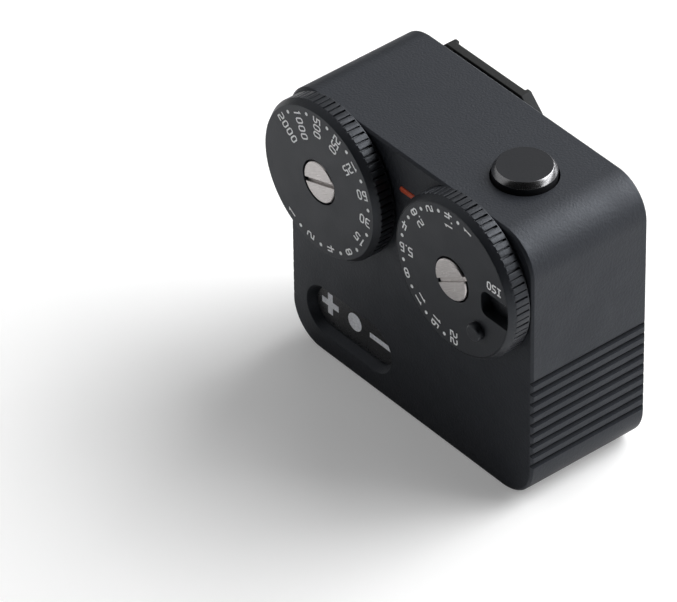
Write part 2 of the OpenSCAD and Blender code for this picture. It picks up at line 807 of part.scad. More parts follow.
module encoder(x) {
    color([0.25, 0.25, 0.28]) on_face(x, dial_z) translate([0, 0, -board_depth]) difference() {
        union() {
            cylinder(h = encoder_t, r = encoder_r);
            translate([-encoder_lug_w / 2, -encoder_r - encoder_lug_l, 0])
                cube([encoder_lug_w, encoder_r, encoder_lug_t]);
        }
        translate([0, 0, board_depth - shaft_depth - encoder_floor_t])
            cylinder(h = encoder_t + over, r = shaft_r + shaft_gap);
    }
}

module shutter_encoder() {
    encoder(shutter_x);
}

module aperture_encoder() {
    encoder(aperture_x);
}

// Shafts

module shaft(x, top) {
    color([0.7, 0.7, 0.72]) on_face(x, dial_z) difference() {
        translate([0, 0, -shaft_depth]) cylinder(h = shaft_depth + top, r = shaft_r);
        translate([0, 0, -face_wall])
            cylinder(h = face_wall + top + over, r = dial_shank_r + shaft_fit);
        translate([0, 0, -clip_depth - clip_t - film])
            ring(shaft_r + over, shaft_r - clip_groove, clip_t + 2 * film);
    }
}

module shutter_shaft() {
    shaft(shutter_x, shaft_top);
}

module aperture_shaft() {
    shaft(aperture_x, plate_shaft_top);
}

module bush(x) {
    color([0.72, 0.6, 0.32]) on_face(x, dial_z) difference() {
        union() {
            translate([0, 0, -face_wall - join]) cylinder(h = face_wall, r = bush_r);
            translate([0, 0, -face_wall - bush_flange_t]) cylinder(h = bush_flange_t, r = bush_flange_r);
        }
        translate([0, 0, -face_wall - bush_flange_t - over])
            cylinder(h = face_wall + bush_flange_t + 2 * over, r = shaft_r + shaft_gap);
    }
}

module shutter_bush() {
    bush(shutter_x);
}

module aperture_bush() {
    bush(aperture_x);
}

// Open retaining ring in the shaft's groove
module clip(x) {
    color([0.5, 0.5, 0.52]) on_face(x, dial_z) translate([0, 0, -clip_depth - clip_t]) difference() {
        ring(shaft_r + clip_out, shaft_r - clip_groove + film, clip_t);
        translate([0, -clip_mouth / 2, -over])
            cube([shaft_r + clip_out + over, clip_mouth, clip_t + 2 * over]);
    }
}

module shutter_clip() {
    clip(shutter_x);
}

module aperture_clip() {
    clip(aperture_x);
}

// Dials

// Knurl grooves, deep and shallow in turn
module knurl_cut(offset_angle) {
    for (i = [0:knurl_count - 1]) {
        deep = i % 2 == 0;
        w = deep ? knurl_w : thin_groove_w;
        d = deep ? knurl_depth : thin_groove_depth;
        rotate(offset_angle + 360 * i / knurl_count) translate([dial_r - d, -w / 2, knurl_low])
            cube([1, w, knurl_high - knurl_low + seat]);
    }
}

// Dimples under a dial that the fixed click ball drops into, one for each half step
module dimples(count, step, rest) {
    for (i = [0:2 * count - 2]) rotate(-90 + (i / 2 - rest) * step)
        translate([click_at, 0, dial_gap - dimple_sink]) sphere(r = ball_r, $fn = 24);
}

module dial_blank() {
    rotate_extrude($fn = 96) polygon([[0, dial_gap], [dial_r - dial_foot_w, dial_gap],
        [dial_r, dial_gap + dial_foot_h], [dial_r, knurl_high], [dial_face_r, dial_h], [0, dial_h]]);
}

module shutter_dial() {
    color([0.13, 0.13, 0.14]) on_face(shutter_x, dial_z) difference() {
        dial_blank();
        knurl_cut(shutter_knurl_turn);
        dimples(shutter_positions, shutter_step, shutter_rest);
        translate([0, 0, web_top]) cylinder(h = head_depth + over, r = head_r + head_ring);
        translate([0, 0, -over]) cylinder(h = shaft_top + seat + over, r = shaft_r + shaft_fit);
        cylinder(h = dial_h, r = dial_shank_r + screw_gap);
    }
}

// Slotted screw whose head starts at the height low and ends at the height high
module slotted_screw(x, low, high, slot_turn) {
    t = high - low;
    color([0.78, 0.76, 0.74]) on_face(x, dial_z) difference() {
        union() {
            translate([0, 0, low]) rotate_extrude()
                polygon([[0, 0], [head_r, 0], [head_r, t - head_edge], [head_r - head_edge, t], [0, t]]);
            translate([0, 0, -dial_shank_in]) cylinder(h = low + dial_shank_in + join, r = dial_shank_r);
        }
        rotate(slot_turn) translate([-head_r - over, -head_slot_w / 2, high - head_slot_depth])
            cube([2 * (head_r + over), head_slot_w, head_slot_depth + over]);
    }
}

module shutter_dial_screw() {
    slotted_screw(shutter_x, web_top + plate_gap, dial_h, shutter_slot_turn);
}

module aperture_dial_screw() {
    slotted_screw(aperture_x, web_top + plate_gap, dial_h + head_proud, aperture_slot_turn);
}

module aperture_dial() {
    color([0.13, 0.13, 0.14]) on_face(aperture_x, dial_z) difference() {
        dial_blank();
        knurl_cut(aperture_knurl_turn);
        dimples(aperture_positions, aperture_step, aperture_rest);
        difference() {
            translate([0, 0, plate_floor]) cylinder(h = dial_h, r = plate_r + plate_gap);
            cylinder(h = web_top + film, r = collar_r);
        }
        translate([0, 0, -over]) cylinder(h = plate_shaft_top + seat + over, r = shaft_r + shaft_fit);
        cylinder(h = dial_h, r = dial_shank_r + screw_gap);
    }
}

// Plate with the aperture numbers, turned by its peg to show a film speed in its window
module iso_scale_plate() {
    bottom = plate_floor + plate_gap;
    color([0.14, 0.14, 0.15]) on_face(aperture_x, dial_z) difference() {
        translate([0, 0, bottom]) cylinder(h = dial_h - bottom, r = plate_r);
        translate([0, 0, bottom - over]) cylinder(h = dial_h, r = collar_r + plate_gap);
        translate([0, 0, web_top]) cylinder(h = head_depth + over, r = head_r + head_ring);
        translate([window_in + window_corner, 0, bottom - over]) linear_extrude(dial_h) {
            translate([0, -window_w / 2]) square([plate_r, window_w]);
            translate([-window_corner, window_corner - window_w / 2])
                square([plate_r, window_w - 2 * window_corner]);
            for (s = [-1, 1]) translate([0, s * (window_w / 2 - window_corner)]) circle(r = window_corner);
        }
        rotate(peg_angle) translate([peg_at, 0, dial_h - peg_pin_l - seat])
            cylinder(h = dial_h, r = peg_pin_r + peg_pin_gap);
    }
}

module iso_peg() {
    color([0.1, 0.1, 0.11]) on_face(aperture_x, dial_z) rotate(peg_angle) translate([peg_at, 0, dial_h]) {
        translate([0, 0, film]) rotate_extrude($fn = 48)
            polygon([[0, 0], [peg_r, 0], [peg_r, peg_h - peg_edge_h],
                [peg_r - peg_edge_w, peg_h - peg_edge_w], [peg_r - peg_edge_h, peg_h], [0, peg_h]]);
        translate([0, 0, -peg_pin_l]) cylinder(h = peg_pin_l + film + join, r = peg_pin_r);
    }
}

// Clicks

module click_ball(x) {
    color([0.8, 0.8, 0.82]) on_face(x, dial_z) translate([0, -click_at, ball_rise - ball_r])
        sphere(r = ball_r, $fn = 32);
}

module click_spring(x) {
    color([0.6, 0.6, 0.62]) on_face(x, dial_z) translate([0, -click_at, -pocket_depth + film])
        coil_spring(click_spring_r, click_wire_r, 6, click_spring_l, 12, 5);
}

module shutter_click_ball() {
    click_ball(shutter_x);
}

module aperture_click_ball() {
    click_ball(aperture_x);
}

module shutter_click_spring() {
    click_spring(shutter_x);
}

module aperture_click_spring() {
    click_spring(aperture_x);
}

// Button

module button_cap() {
    top = body_h + button_h - flange_z;
    ring_r = button_r + button_gap + button_flange;
    color([0.16, 0.16, 0.17]) translate([button_x, button_y, flange_z]) {
        rotate_extrude($fn = 96) polygon([[0, 0], [ring_r, 0], [ring_r, flange_t], [button_r, flange_t],
            [button_r, top - button_bevel_h], [button_r - button_bevel_w, top], [0, top]]);
        translate([0, 0, stem_z - flange_z]) cylinder(h = flange_z - stem_z + join, r = stem_r);
    }
}

module button_spring() {
    color([0.65, 0.65, 0.67]) translate([button_x, button_y, guide_z + guide_t + film])
        coil_spring(spring_r, spring_wire_r, 3, spring_l - 2 * film, 20, 6);
}

module button_guide() {
    depth = board_back_y + guide_reach - inner_y;
    color([0.2, 0.2, 0.22]) difference() {
        translate([button_x - guide_w / 2 + 2 * seat, inner_y + seat, guide_z])
            cube([guide_w - 4 * seat, depth - seat, guide_t]);
        translate([button_x, button_y, guide_z - over])
            cylinder(h = guide_t + 2 * over, r = stem_r + stem_gap);
    }
}

module button_switch() {
    color([0.3, 0.3, 0.32]) difference() {
        translate([button_x - switch_w / 2, board_back_y, switch_z]) cube([switch_w, switch_d, switch_h]);
        translate([button_x, button_y, switch_z + switch_h - plunger_well])
            cylinder(h = plunger_well + over, r = plunger_r + plunger_gap);
    }
}

module switch_plunger() {
    low = switch_z + switch_h - plunger_in;
    color([0.75, 0.72, 0.3]) translate([button_x, button_y, low])
        cylinder(h = stem_z - 2 * film - low, r = plunger_r);
}

// Sensor

module sensor_window() {
    color([0.75, 0.85, 0.9, 0.5]) translate([sensor_x, sensor_y, sensor_recess])
        cylinder(h = sensor_glass_t, r = sensor_r);
}

module sensor_bezel() {
    glass_top = sensor_recess + sensor_glass_t + film;
    color([0.1, 0.1, 0.1]) translate([sensor_x, sensor_y, 0]) difference() {
        union() {
            translate([0, 0, glass_top]) cylinder(h = wall - glass_top + over, r = sensor_r);
            translate([0, 0, wall + film])
                cylinder(h = bezel_high_z - wall - film, r = sensor_r + bezel_flange);
        }
        translate([0, 0, glass_top - over]) cylinder(h = bezel_high_z, r = sensor_r - bezel_bore);
    }
}

module sensor_board() {
    color([0.05, 0.3, 0.16])
        translate([sensor_x - sensor_r - sensor_board_out, board_back_y, sensor_board_z])
            cube([2 * (sensor_r + sensor_board_out), sensor_y + sensor_r - sensor_board_in - board_back_y,
                sensor_board_t]);
}

module photodiode() {
    half = photodiode_w / 2;
    color([0.12, 0.1, 0.14])
        translate([sensor_x - half, sensor_y - half, sensor_board_z - photodiode_t])
            cube([photodiode_w, photodiode_w, photodiode_t]);
}

// Indicator

module symbols(grow) {
    translate([-symbol_pitch, 0]) {
        square([plus_size + grow, stroke_w + grow], center = true);
        square([stroke_w + grow, plus_size + grow], center = true);
    }
    circle(r = dot_r + grow / 2);
    translate([symbol_pitch + minus_shift, -minus_shift])
        square([minus_size + grow, minus_w + grow], center = true);
}

// Dark window: a plug in the slot and a flange behind the wall, cut through for the symbols
module indicator_window() {
    color([0.05, 0.05, 0.055]) on_face(slot_x, slot_z) difference() {
        union() {
            translate([0, 0, -face_wall - window_flange_t])
                linear_extrude(face_wall - slot_depth + window_flange_t)
                    stadium(slot_len, slot_floor_r - seat);
            translate([0, 0, -face_wall - window_flange_t]) linear_extrude(window_flange_t - film)
                stadium(slot_len, slot_floor_r + window_flange_w);
        }
        translate([-symbol_shift, symbol_rise, -2 * face_wall]) linear_extrude(2 * face_wall)
            symbols(film);
    }
}

module indicator_light_guide() {
    color([0.8, 0.81, 0.84]) on_face(slot_x, slot_z) {
        translate([0, 0, -face_wall - window_flange_t - film - light_plate_t]) linear_extrude(light_plate_t)
            stadium(slot_len, slot_floor_r + light_plate_w);
        translate([-symbol_shift, symbol_rise, -face_wall - window_flange_t - film - join])
            linear_extrude(face_wall - slot_depth + window_flange_t + film + join) symbols(0);
    }
}

module indicator_baffle() {
    color([0.15, 0.15, 0.15]) on_face(symbol_x, symbol_z) translate([0, 0, -board_depth])
        linear_extrude(baffle_h) difference() {
            square([3 * symbol_pitch + baffle_wall, baffle_cell_h + 2 * baffle_wall], center = true);
            for (i = [-1:1]) translate([i * symbol_pitch, 0])
                square([symbol_pitch - baffle_wall, baffle_cell_h], center = true);
        }
}

module indicator_leds() {
    color([0.9, 0.3, 0.2]) on_face(symbol_x, symbol_z) for (i = [-1:1])
        translate([i * symbol_pitch - led_w / 2, -led_h / 2, -board_depth])
            cube([led_w, led_h, led_t]);
}

housing();
base_plate();
base_screws();
foot_neck();
shoe_foot();
foot_screws();
foot_backing_plate();
battery_cover();
cover_gasket();
battery_cell();
battery_holder();
holder_screws();
battery_contact_minus();
battery_contact_plus();
circuit_board();
board_screws();
board_chips();
shutter_encoder();
aperture_encoder();
shutter_shaft();
aperture_shaft();
shutter_bush();
aperture_bush();
shutter_clip();
aperture_clip();
shutter_dial();
shutter_dial_screw();
aperture_dial();
aperture_dial_screw();
iso_scale_plate();
iso_peg();
shutter_click_ball();
aperture_click_ball();
shutter_click_spring();
aperture_click_spring();
button_cap();
button_spring();
button_guide();
button_switch();
switch_plunger();
sensor_window();
sensor_bezel();
photodiode();
sensor_board();
indicator_window();
indicator_light_guide();
indicator_baffle();
indicator_leds();
index_mark();
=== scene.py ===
import json
import math
from collections import namedtuple

import bmesh
import bpy
from mathutils import Matrix, Vector

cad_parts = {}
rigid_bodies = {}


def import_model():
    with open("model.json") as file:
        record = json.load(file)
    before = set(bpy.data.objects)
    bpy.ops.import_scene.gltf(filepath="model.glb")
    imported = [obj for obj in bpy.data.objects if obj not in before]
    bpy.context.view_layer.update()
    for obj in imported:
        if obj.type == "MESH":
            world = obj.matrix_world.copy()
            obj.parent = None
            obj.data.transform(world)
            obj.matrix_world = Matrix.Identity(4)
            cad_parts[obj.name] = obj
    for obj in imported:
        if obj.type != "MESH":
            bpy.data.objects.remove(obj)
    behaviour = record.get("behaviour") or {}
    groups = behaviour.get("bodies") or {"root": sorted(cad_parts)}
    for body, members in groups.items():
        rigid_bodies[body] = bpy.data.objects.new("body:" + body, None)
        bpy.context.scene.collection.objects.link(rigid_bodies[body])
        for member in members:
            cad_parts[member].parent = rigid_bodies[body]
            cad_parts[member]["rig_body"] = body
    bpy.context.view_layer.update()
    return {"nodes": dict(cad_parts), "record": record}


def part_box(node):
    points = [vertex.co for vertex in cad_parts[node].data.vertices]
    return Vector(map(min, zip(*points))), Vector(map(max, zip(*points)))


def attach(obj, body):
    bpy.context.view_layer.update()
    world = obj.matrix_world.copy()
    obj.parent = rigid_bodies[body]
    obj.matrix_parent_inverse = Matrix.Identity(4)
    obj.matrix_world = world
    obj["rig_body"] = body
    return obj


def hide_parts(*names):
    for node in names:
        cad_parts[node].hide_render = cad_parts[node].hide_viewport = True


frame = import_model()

MM = 0.001
nodes = frame["nodes"]


# Places taken from the frame

def centre_of(node):
    low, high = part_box(node)
    return (low + high) / 2


housing_low, housing_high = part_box("housing")
shutter_axis = centre_of("shutter_dial_screw")
aperture_axis = centre_of("aperture_dial_screw")
dial_face_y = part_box("shutter_dial")[0].y
plate_face_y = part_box("iso_scale_plate")[0].y


# Materials

def new_material(name, colour, roughness, metallic=0.0, specular=0.5):
    """A new material, its node tree and its shader, with plain numbers on the shader's sockets."""
    mat = bpy.data.materials.new(name)
    mat.use_nodes = True
    tree = mat.node_tree
    shader = tree.nodes["Principled BSDF"]
    shader.inputs["Base Color"].default_value = (*colour, 1)
    shader.inputs["Roughness"].default_value = roughness
    shader.inputs["Metallic"].default_value = metallic
    shader.inputs["Specular IOR Level"].default_value = specular
    return mat, tree, shader


def coordinates(tree, stretch=(1, 1, 1), turn=0.0):
    """Object coordinates in millimetres, turned about Y and stretched along the axes."""
    coords = tree.nodes.new("ShaderNodeTexCoord")
    mapping = tree.nodes.new("ShaderNodeMapping")
    mapping.vector_type = "TEXTURE"
    mapping.inputs["Rotation"].default_value = (0, turn, 0)
    mapping.inputs["Scale"].default_value = [MM * s for s in stretch]
    tree.links.new(coords.outputs["Object"], mapping.inputs["Vector"])
    return mapping.outputs["Vector"]


def noise(tree, vector, size_mm, detail=3.0, roughness=0.5):
    """Noise with features of about size_mm, and detail octaves of finer ones."""
    node = tree.nodes.new("ShaderNodeTexNoise")
    node.inputs["Scale"].default_value = 1 / size_mm
    node.inputs["Detail"].default_value = detail
    node.inputs["Roughness"].default_value = roughness
    tree.links.new(vector, node.inputs["Vector"])
    return node.outputs["Fac"]


def spread(tree, value, low, high, from_low=0.3, from_high=0.7):
    """Maps a value onto the range from low to high. Most of a noise lies between 0.3 and 0.7."""
    node = tree.nodes.new("ShaderNodeMapRange")
    node.inputs["From Min"].default_value = from_low
    node.inputs["From Max"].default_value = from_high
    node.inputs["To Min"].default_value = low
    node.inputs["To Max"].default_value = high
    tree.links.new(value, node.inputs["Value"])
    return node.outputs["Result"]


def tint(tree, factor, dark, light):
    """A colour between dark and light."""
    node = tree.nodes.new("ShaderNodeMix")
    node.data_type = "RGBA"
    node.inputs["A"].default_value = (*dark, 1)
    node.inputs["B"].default_value = (*light, 1)
    tree.links.new(factor, node.inputs["Factor"])
    return node.outputs["Result"]


def combine(tree, operation, first, second):
    """The sum, product or larger of two values, by the Math node's operation."""
    node = tree.nodes.new("ShaderNodeMath")
    node.operation = operation
    tree.links.new(first, node.inputs[0])
    tree.links.new(second, node.inputs[1])
    return node.outputs["Value"]


def bump(tree, shader, height, depth_mm):
    """Relief in which a height from 0 to 1 stands for depth_mm."""
    node = tree.nodes.new("ShaderNodeBump")
    node.inputs["Strength"].default_value = 1.0
    node.inputs["Distance"].default_value = depth_mm * MM
    tree.links.new(height, node.inputs["Height"])
    tree.links.new(node.outputs["Normal"], shader.inputs["Normal"])


def scaled(colour, factor):
    return tuple(c * factor for c in colour)


def roughen(tree, shader, value, low, high):
    """Lets the roughness run from low to high with a noise value."""
    tree.links.new(spread(tree, value, low, high), shader.inputs["Roughness"])


COOL_GLOSS = (0.86, 0.91, 1.0, 1)
# Share of the coarse grain in the relief, and size of the patches of gloss
COARSE_SHARE = 0.8
PATCH_MM = 4.0


def blasted(name, colour, roughness, specular, grain_mm=0.3, depth_mm=0.016, vary=0.14):
    """Blasted and anodised metal: a coarse and a fine grain, and faint patches of gloss."""
    mat, tree, shader = new_material(name, colour, roughness, 0.0, specular)
    shader.inputs["Specular Tint"].default_value = COOL_GLOSS
    where = coordinates(tree)
    coarse = noise(tree, where, grain_mm, detail=1.0)
    fine = noise(tree, where, grain_mm / 3, detail=2.0)
    grain = combine(tree, "ADD", spread(tree, coarse, 0, COARSE_SHARE),
                    spread(tree, fine, 0, 1 - COARSE_SHARE))
    colours = tint(tree, grain, scaled(colour, 1 - vary), scaled(colour, 1 + vary))
    tree.links.new(colours, shader.inputs["Base Color"])
    roughen(tree, shader, noise(tree, where, PATCH_MM), roughness - 0.04, roughness + 0.04)
    bump(tree, shader, grain, depth_mm)
    return mat


# Colour of the shade painted at the floor of the side grooves
GROOVE_PAINTED_SHADE = (0.002, 0.0025, 0.004, 1)


def paint_groove_shade(mat, mouth, floor):
    """Paints shade into the side grooves: their colour darkens from their mouth to their floor.

    Both are distances from the body's middle in mm.
    """
    tree = mat.node_tree
    shader = tree.nodes["Principled BSDF"]
    place = tree.nodes.new("ShaderNodeSeparateXYZ")
    tree.links.new(coordinates(tree), place.inputs["Vector"])
    out = tree.nodes.new("ShaderNodeMath")
    out.operation = "ABSOLUTE"
    tree.links.new(place.outputs["X"], out.inputs[0])
    mix = tree.nodes.new("ShaderNodeMix")
    mix.data_type = "RGBA"
    mix.inputs["A"].default_value = GROOVE_PAINTED_SHADE
    tree.links.new(shader.inputs["Base Color"].links[0].from_socket, mix.inputs["B"])
    light = spread(tree, out.outputs["Value"], 0, 1, floor, mouth)
    tree.links.new(light, mix.inputs["Factor"])
    tree.links.new(mix.outputs["Result"], shader.inputs["Base Color"])
    return mat


# Depth of the relief in mm
MOULDED_GRAIN, PAINT_GRAIN = 0.008, 0.004


def moulded(name, colour, roughness=0.45, specular=0.4):
    """Moulded plastic with a fine eroded surface."""
    mat, tree, shader = new_material(name, colour, roughness, 0.0, specular)
    grain = noise(tree, coordinates(tree), 0.25)
    colours = tint(tree, spread(tree, grain, 0, 1), scaled(colour, 0.85), scaled(colour, 1.12))
    tree.links.new(colours, shader.inputs["Base Color"])
    roughen(tree, shader, grain, roughness - 0.06, roughness + 0.06)
    bump(tree, shader, grain, MOULDED_GRAIN)
    return mat


# Width of a scratch and size of a cloudy patch in mm
SCRATCH_MM, CLOUD_MM = 0.12, 1.2


def brushed(name, colour, roughness=0.3, along=(16, 1, 1), turn=0.0, depth_mm=0.004):
    """Bare metal whose scratches are drawn out along the axes, after a turn about Y."""
    mat, tree, shader = new_material(name, colour, roughness, 1.0)
    lines = noise(tree, coordinates(tree, along, turn), SCRATCH_MM, roughness=0.6)
    patches = noise(tree, coordinates(tree), CLOUD_MM)
    mixed = combine(tree, "MULTIPLY", spread(tree, lines, 0.6, 1.0),
                    spread(tree, patches, 0.85, 1.0))
    light = spread(tree, mixed, 0, 1, 0.55, 1.0)
    colours = tint(tree, light, scaled(colour, 0.8), scaled(colour, 1.08))
    tree.links.new(colours, shader.inputs["Base Color"])
    roughen(tree, shader, lines, 1.15 * roughness, 0.85 * roughness)
    bump(tree, shader, lines, depth_mm)
    return mat


def printed(name, colour, roughness):
    """Filled paint, slightly uneven."""
    mat, tree, shader = new_material(name, colour, roughness, 0.0, 0.3)
    flecks = noise(tree, coordinates(tree), 0.15, detail=2.0)
    colours = tint(tree, spread(tree, flecks, 0, 1), scaled(colour, 0.84), scaled(colour, 1.06))
    tree.links.new(colours, shader.inputs["Base Color"])
    bump(tree, shader, flecks, PAINT_GRAIN)
    return mat


def clear(name, colour):
    """Clear window with faint smears in its gloss."""
    mat, tree, shader = new_material(name, colour, 0.04, 0.0, 0.5)
    shader.inputs["Transmission Weight"].default_value = 1.0
    shader.inputs["IOR"].default_value = 1.5
    roughen(tree, shader, noise(tree, coordinates(tree), 2.5), 0.02, 0.09)
    return mat


BODY_COLOUR = (0.0095, 0.0110, 0.0148)
BODY_ROUGHNESS = 0.52
materials = {
    "body_paint": blasted("body_anodised_charcoal", BODY_COLOUR, BODY_ROUGHNESS, 0.47),
    "dial_black": blasted("dial_anodised_black", (0.0070, 0.0078, 0.0100), 0.45, 0.52,
                          grain_mm=0.25, depth_mm=0.008, vary=0.1),
    "foot_black": blasted("foot_anodised_black", (0.019, 0.019, 0.018), 0.6, 0.22, depth_mm=0.006),
    "button_black": blasted("button_anodised_black", (0.007, 0.007, 0.008), 0.45, 0.32,
                            depth_mm=0.003, vary=0.06),
    "screw_silver": brushed("screw_brushed", (0.61, 0.58, 0.57), turn=math.radians(-35)),
    "steel": brushed("steel_plain", (0.50, 0.50, 0.51), roughness=0.35),
    "brass": brushed("brass_turned", (0.70, 0.53, 0.25)),
    "spring_steel": brushed("spring_wire", (0.55, 0.55, 0.57), along=(1, 1, 5)),
    "contact": brushed("contact_plated", (0.75, 0.66, 0.42)),
    "black_plastic": moulded("plastic_black", (0.020, 0.020, 0.021)),
    "grey_plastic": moulded("plastic_grey", (0.20, 0.20, 0.21)),
    "window_black": moulded("window_dark", (0.016, 0.017, 0.020), roughness=0.3),
    "light_grey": moulded("symbol_grey", (0.86, 0.88, 0.92), roughness=0.5, specular=0.3),
    "led": moulded("led_epoxy", (0.70, 0.18, 0.10), roughness=0.15),
    "index_orange": printed("index_orange", (0.62, 0.085, 0.03), roughness=0.4),
    "board_green": moulded("board_mask", (0.02, 0.13, 0.07), roughness=0.3),
    "chip": moulded("chip_epoxy", (0.02, 0.02, 0.021)),
    "rubber": moulded("gasket_rubber", (0.015, 0.015, 0.015), roughness=0.7),
    "glass": clear("sensor_glass", (0.85, 0.9, 0.93)),
}
polished = brushed("button_polished_edge", (0.31, 0.31, 0.32), roughness=0.24, along=(1, 1, 1),
                   depth_mm=0.0004)
number_paint = printed("number_paint", (0.93, 0.94, 0.95), roughness=0.45)
# Depths below the side between which the shade painted into the grooves deepens
GROOVE_SHADE_FADE = (0.06, 0.22)
side_x = housing_high.x / MM
# The grooves' material: the body's anodising with shade painted into its colour, darker towards the
# groove floor
groove_shade_paint = paint_groove_shade(blasted("body_groove_painted_shade", BODY_COLOUR, BODY_ROUGHNESS, 0.12),
                              mouth=side_x - GROOVE_SHADE_FADE[0], floor=side_x - GROOVE_SHADE_FADE[1])
slot_of = {s["node"]: s["material_slot"] for s in frame["record"]["subparts"]}
for name, node in nodes.items():
    node.data.materials.clear()
    node.data.materials.append(materials[slot_of[name]])


# Refined copies: a CAD solid with every sharp edge rounded, in the solid's own place

# Width of the rounding in mm, before it gives way to short edges beside it
ROUNDING = {"housing": 0.08, "base_plate": 0.05, "battery_cover": 0.08, "shoe_foot": 0.12,
            "foot_neck": 0.08, "shutter_dial": 0.05, "aperture_dial": 0.05, "iso_scale_plate": 0.05,
            "iso_peg": 0.05, "shutter_dial_screw": 0.05, "aperture_dial_screw": 0.05,
            "button_cap": 0.06, "index_mark": 0.14}
SHARP = math.radians(30)
FLAT = math.radians(1)
MERGE_MM = 0.0005
# An edge meets another sideways when less than this share of its length runs along it
ALONG_SHARE = 0.97
# Share of such an edge that the rounding may use from one end
ROOM_SHARE = 0.45
FAR = 1.0


def room_beside(edge):
    """How far an edge's rounding may reach before it uses up a short edge beside it."""
    way = (edge.verts[1].co - edge.verts[0].co).normalized()
    room = FAR
    for vert in edge.verts:
        for other in vert.link_edges:
            if other is not edge:
                run = other.verts[1].co - other.verts[0].co
                if abs(run.dot(way)) < ALONG_SHARE * run.length:
                    room = min(room, ROOM_SHARE * run.length)
    return room


def rounded_copy(name, width_mm):
    source = nodes[name]
    mesh = bmesh.new()
    mesh.from_mesh(source.data)
    bmesh.ops.remove_doubles(mesh, verts=mesh.verts, dist=MERGE_MM * MM)
    bmesh.ops.dissolve_limit(mesh, angle_limit=FLAT, verts=mesh.verts, edges=mesh.edges)
    weight = mesh.edges.layers.float.new("bevel_weight_edge")
    for edge in mesh.edges:
        if edge.is_manifold and edge.calc_face_angle() > SHARP:
            edge[weight] = min(1.0, room_beside(edge) / (width_mm * MM))
    data = bpy.data.meshes.new(name + "_finished")
    mesh.to_mesh(data)
    mesh.free()
    piece = bpy.data.objects.new(name + "_finished", data)
    bpy.context.scene.collection.objects.link(piece)
    data.materials.append(materials[slot_of[name]])
    arris = piece.modifiers.new("arris", "BEVEL")
    arris.width = width_mm * MM
    arris.segments = 2
    arris.limit_method = "WEIGHT"
    arris.use_clamp_overlap = False
    arris.miter_outer = "MITER_ARC"
    for face in data.polygons:
        face.use_smooth = True
    normals = piece.modifiers.new("normals", "WEIGHTED_NORMAL")
    normals.keep_sharp = True
    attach(piece, source["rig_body"])
    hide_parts(name)
    return piece


finished = {name: rounded_copy(name, width) for name, width in ROUNDING.items()}


def paint_faces(name, paint, chosen):
    """Gives a second material to the chosen faces of a refined copy."""
    data = finished[name].data
    data.materials.append(paint)
    for face in data.polygons:
        if chosen(face):
            face.material_index = 1


# Upward share of the normal on the button's chamfer, and the chamfer's reach below the top
CHAMFER_TILT = (0.3, 0.9)
CHAMFER_REACH = 1.0
# Heights between which the grip ribs stand, and depths between which their grooves' faces lie
RIBS = (5, 20)
GROOVES = (0.02, 0.4)
# The grooves' faces look out to the side more than this, and to the front or back less than this
SIDEWAYS, ENDWAYS = 0.2, 0.3


def polish_button_edge():
    """The turned chamfer round the button's top is bright, the rest of the button is satin."""
    top = max(v.co.z for v in finished["button_cap"].data.vertices)
    chamfer_low = top - CHAMFER_REACH * MM
    steepest, flattest = CHAMFER_TILT
    paint_faces("button_cap", polished, lambda face: (
        steepest < face.normal.z < flattest and face.center.z > chamfer_low))


def paint_side_groove_shade():
    """The walls and floors of the grip grooves, which hold little light, get the material with
    shade painted into its colour.
    """
    ribs_low, ribs_high = (housing_low.z + height * MM for height in RIBS)
    groove_mouth, groove_floor = (side_x - depth for depth in GROOVES)

    def in_groove(face):
        return (groove_floor < abs(face.center.x) / MM < groove_mouth
                and ribs_low < face.center.z < ribs_high
                and abs(face.normal.x) > SIDEWAYS and abs(face.normal.y) < ENDWAYS)

    paint_faces("housing", groove_shade_paint, in_groove)


polish_button_edge()
paint_side_groove_shade()


# Numbers on the dials, as strokes of paint that stand just proud of the face

# Height of the paint over the face, which is also its depth in it
PAINT = 0.012
# Radius of the dots between the numbers, and width of the full stop
DOT_R = 0.25
POINT_W = 0.1

# Width and height of a character between its stroke centres, stroke width, gap to the next one
Cell = namedtuple("Cell", "w h stroke gap")
DIAL_DIGITS = Cell(0.62, 1.12, 0.2, 0.2)
ISO_LETTERS = Cell(0.56, 0.97, 0.2, 0.12)
WINDOW_DIGITS = Cell(0.42, 0.64, 0.14, 0.13)


def glyph(char, w, h, s):
    """Centre lines of a squarish character with strokes s wide, and True for each closed one."""
    c = 0.28 * w
    mid = 0.52 * h
    box = [(c, 0), (w - c, 0), (w, c), (w, h - c), (w - c, h), (c, h), (0, h - c), (0, c)]
    low_box = [(0, 0), (w - c, 0), (w, c), (w, mid - c), (w - c, mid), (0, mid)]
    upright = 0.72 * w
    return {
        "0": [(box, True)],
        "O": [(box, True)],
        "1": [([(0.3 * w, h - 0.18 * w), (0.55 * w, h), (0.55 * w, 0)], False)],
        "2": [([(0, h), (w - c, h), (w, h - c), (w, mid), (0, mid - c), (0, 0), (w, 0)], False)],
        "3": [([(0, h), (w - c, h), (w, h - c), (w, c), (w - c, 0), (0, 0)], False),
              ([(0.3 * w, mid), (w - s, mid)], False)],
        "4": [([(0, h), (0, 0.36 * h), (upright - s, 0.36 * h)], False),
              ([(upright, h), (upright, 0)], False),
              ([(upright + s, 0.36 * h), (w + s / 2, 0.36 * h)], False)],
        "5": [([(w, h), (0, h), (0, mid), (w - c, mid), (w, mid - c), (w, c), (w - c, 0),
                (0, 0)], False)],
        "6": [(low_box, True), ([(0, mid + s), (0, h), (w - c, h)], False)],
        "8": [(box, True), ([(s, mid), (w - s, mid)], False)],
        ".": [([(0, 0), (0.01, 0)], False)],
        "S": [([(w, h), (c, h), (0, h - c), (0, mid + c), (c, mid), (w - c, mid), (w, mid - c),
                (w, c), (w - c, 0), (0, 0)], False)],
        "I": [([(w / 2, s), (w / 2, h - s)], False), ([(0.1 * w, 0), (0.9 * w, 0)], False),
              ([(0.1 * w, h), (0.9 * w, h)], False)],
    }[char]


